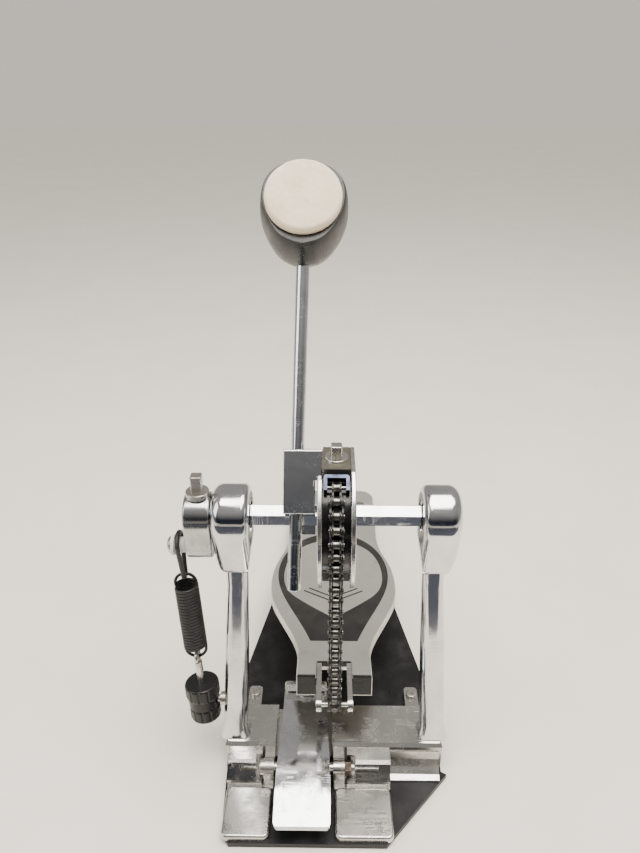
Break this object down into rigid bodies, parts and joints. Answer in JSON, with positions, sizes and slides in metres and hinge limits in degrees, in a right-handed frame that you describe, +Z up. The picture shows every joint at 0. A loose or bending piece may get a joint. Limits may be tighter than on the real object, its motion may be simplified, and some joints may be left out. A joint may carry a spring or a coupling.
{
  "type": "bass drum pedal",
  "caption": "Chain-driven bass drum pedal with a felt beater on a hexagon axle, a sprung rocker, a hinged footboard and a hoop clamp on a base plate.",
  "frame": {"origin": "on the floor under the middle of the axle, in the plane of the mat's underside", "axes": "+X to the pedal's right as seen from the drum, along the axle; +Y from the drum towards the heel; +Z up"},
  "size_m": [0.1808, 0.3782, 0.3855],
  "materials": {
    "rubber_mat": "ribbed matt black",
    "black_steel": "satin black powder coat",
    "cast_aluminium": "satin polished, light scratches",
    "polished_casting": "mirror polished",
    "fastener_steel": "bright zinc",
    "bearing_steel": "ground",
    "chrome": "polished, light scuffs",
    "dark_nut": "darkened, oily",
    "board_silver": "warm satin lacquer",
    "board_charcoal": "fine textured charcoal",
    "gloss_black": "glossy black",
    "brass_bush": "dull",
    "cam_steel": "bright edge, brushed sides",
    "olive_cast": "olive grey, smooth",
    "clip_steel": "blued",
    "chain_black": "oiled black oxide",
    "chain_bright": "burnished",
    "rocker_steel": "dark polished",
    "nylon": "off-white nylon",
    "shell_black": "moulded, soft gloss",
    "felt": "pressed off-white felt",
    "spring_black": "black coated wire",
    "knob_black": "moulded, satin"
  },
  "bodies": {
    "base": {"base_mat": "rubber_mat", "base_plate": "black_steel", "base_casting": "cast_aluminium", "frame_screws": "fastener_steel", "upright_left": "polished_casting", "upright_right": "polished_casting", "bearing_outer_races": "bearing_steel", "bearing_balls": "bearing_steel", "bearing_caps": "polished_casting", "spring_stud": "fastener_steel", "clamp_bolt": "fastener_steel", "clamp_nut": "dark_nut", "heel_plate": "board_silver", "heel_pin": "fastener_steel", "heel_screws": "fastener_steel"},
    "clamp_lever": {"clamp_lever": "chrome"},
    "wing_bolt": {"wing_bolt": "fastener_steel"},
    "footboard": {"footboard": "board_silver", "footboard_inlay": "board_charcoal", "toe_block": "gloss_black", "toe_clevis": "cam_steel", "clevis_screws": "fastener_steel", "clevis_pin": "fastener_steel", "heel_bushes": "brass_bush"},
    "axle_assembly": {"axle": "chrome", "bearing_inner_races": "bearing_steel", "cam_plate_left": "cam_steel", "cam_plate_right": "cam_steel", "cam_track": "gloss_black", "cam_boss": "olive_cast", "cam_bolt": "fastener_steel", "bolt_washers": "fastener_steel", "chain_clip": "clip_steel", "chain_wrap_plates": "chain_black", "chain_wrap_rollers": "chain_bright", "beater_hub": "chrome", "beater_key_bolt": "fastener_steel", "spring_rocker": "rocker_steel", "rocker_bolt": "fastener_steel", "rocker_screw": "fastener_steel", "rocker_bush": "nylon"},
    "beater": {"beater_rod": "chrome", "beater_shell": "shell_black", "beater_felt": "felt"},
    "chain_link_3": {"chain_link_3_plates": "chain_black", "chain_link_3_rollers": "chain_bright"},
    "chain_link_2": {"chain_link_2_plates": "chain_black", "chain_link_2_pins": "chain_bright"},
    "chain_link_1": {"chain_link_1_plates": "chain_black", "chain_link_1_rollers": "chain_bright"},
    "chain_run": {"chain_run_plates": "chain_black", "chain_run_rollers": "chain_bright", "chain_end_link": "chain_black"},
    "spring_swing": {"return_spring": "spring_black", "tension_rod": "fastener_steel", "spring_swivel": "knob_black", "tension_knob": "knob_black"},
    "spring_link": {"spring_link": "spring_black"},
    "lock_knob": {"lock_knob": "knob_black"}
  },
  "joints": [
    {"name": "axle_turn", "type": "hinge", "parent": "base", "child": "axle_assembly", "pos_m": [0, 0, 0.19], "axis": [1, 0, 0], "range_deg": [0, 34.4], "stiffness_Nm_per_rad": 0.6, "springref_deg": -20.05},
    {"name": "footboard_hinge", "type": "hinge", "parent": "base", "child": "footboard", "pos_m": [0, 0.2295, 0.0155], "axis": [1, 0, 0], "range_deg": [0, 5.1]},
    {"name": "chain_foot", "type": "hinge", "parent": "footboard", "child": "chain_run", "pos_m": [0, -0.04, 0.072], "axis": [1, 0, 0], "range_deg": [-6.6, 0]},
    {"name": "chain_joint_0", "type": "hinge", "parent": "chain_run", "child": "chain_link_1", "pos_m": [0, -0.04, 0.19], "axis": [1, 0, 0], "range_deg": [0, 7.4]},
    {"name": "chain_joint_1", "type": "hinge", "parent": "chain_link_1", "child": "chain_link_2", "pos_m": [0, -0.0392, 0.19796], "axis": [1, 0, 0], "range_deg": [0, 11.7]},
    {"name": "chain_joint_2", "type": "hinge", "parent": "chain_link_2", "child": "chain_link_3", "pos_m": [0, -0.03683, 0.2056], "axis": [1, 0, 0], "range_deg": [0, 11.7]},
    {"name": "beater_height", "type": "slide", "parent": "axle_assembly", "child": "beater", "axis": [0.0227, 0.4694, 0.8827], "range_m": [-0.02, 0.01]},
    {"name": "spring_swing", "type": "hinge", "parent": "base", "child": "spring_swing", "pos_m": [-0.088, -0.02, 0.053], "axis": [1, 0, 0], "range_deg": [-5.8, 0]},
    {"name": "spring_stretch", "type": "slide", "parent": "spring_swing", "child": "spring_link", "axis": [-0.0676, 0.1352, 0.9885], "range_m": [0, 0.004], "deforming": ["return_spring"]},
    {"name": "lock_knob_turn", "type": "hinge", "parent": "spring_swing", "child": "lock_knob", "pos_m": [-0.088, -0.02, 0.053], "axis": [-0.0676, 0.1352, 0.9885], "continuous": true},
    {"name": "clamp_pivot", "type": "hinge", "parent": "base", "child": "clamp_lever", "pos_m": [-0.02, -0.045, 0.017], "axis": [1, 0, 0], "range_deg": [0, 2.5]},
    {"name": "wing_turn", "type": "hinge", "parent": "clamp_lever", "child": "wing_bolt", "pos_m": [-0.02, 0.009, 0.03], "axis": [0, 0, 1], "continuous": true}
  ],
  "couplings": [
    {"joint": "footboard_hinge", "follows": "axle_turn", "ratio": 0.1463},
    {"joint": "chain_foot", "follows": "axle_turn", "ratio": -0.1868},
    {"joint": "chain_joint_0", "follows": "axle_turn", "ratio": 0.20717},
    {"joint": "chain_joint_1", "follows": "axle_turn", "ratio": 0.33333},
    {"joint": "chain_joint_2", "follows": "axle_turn", "ratio": 0.33333},
    {"joint": "spring_swing", "follows": "axle_turn", "ratio": -0.16088},
    {"joint": "spring_stretch", "follows": "axle_turn", "m_per_rad": 0.005714}
  ]
}
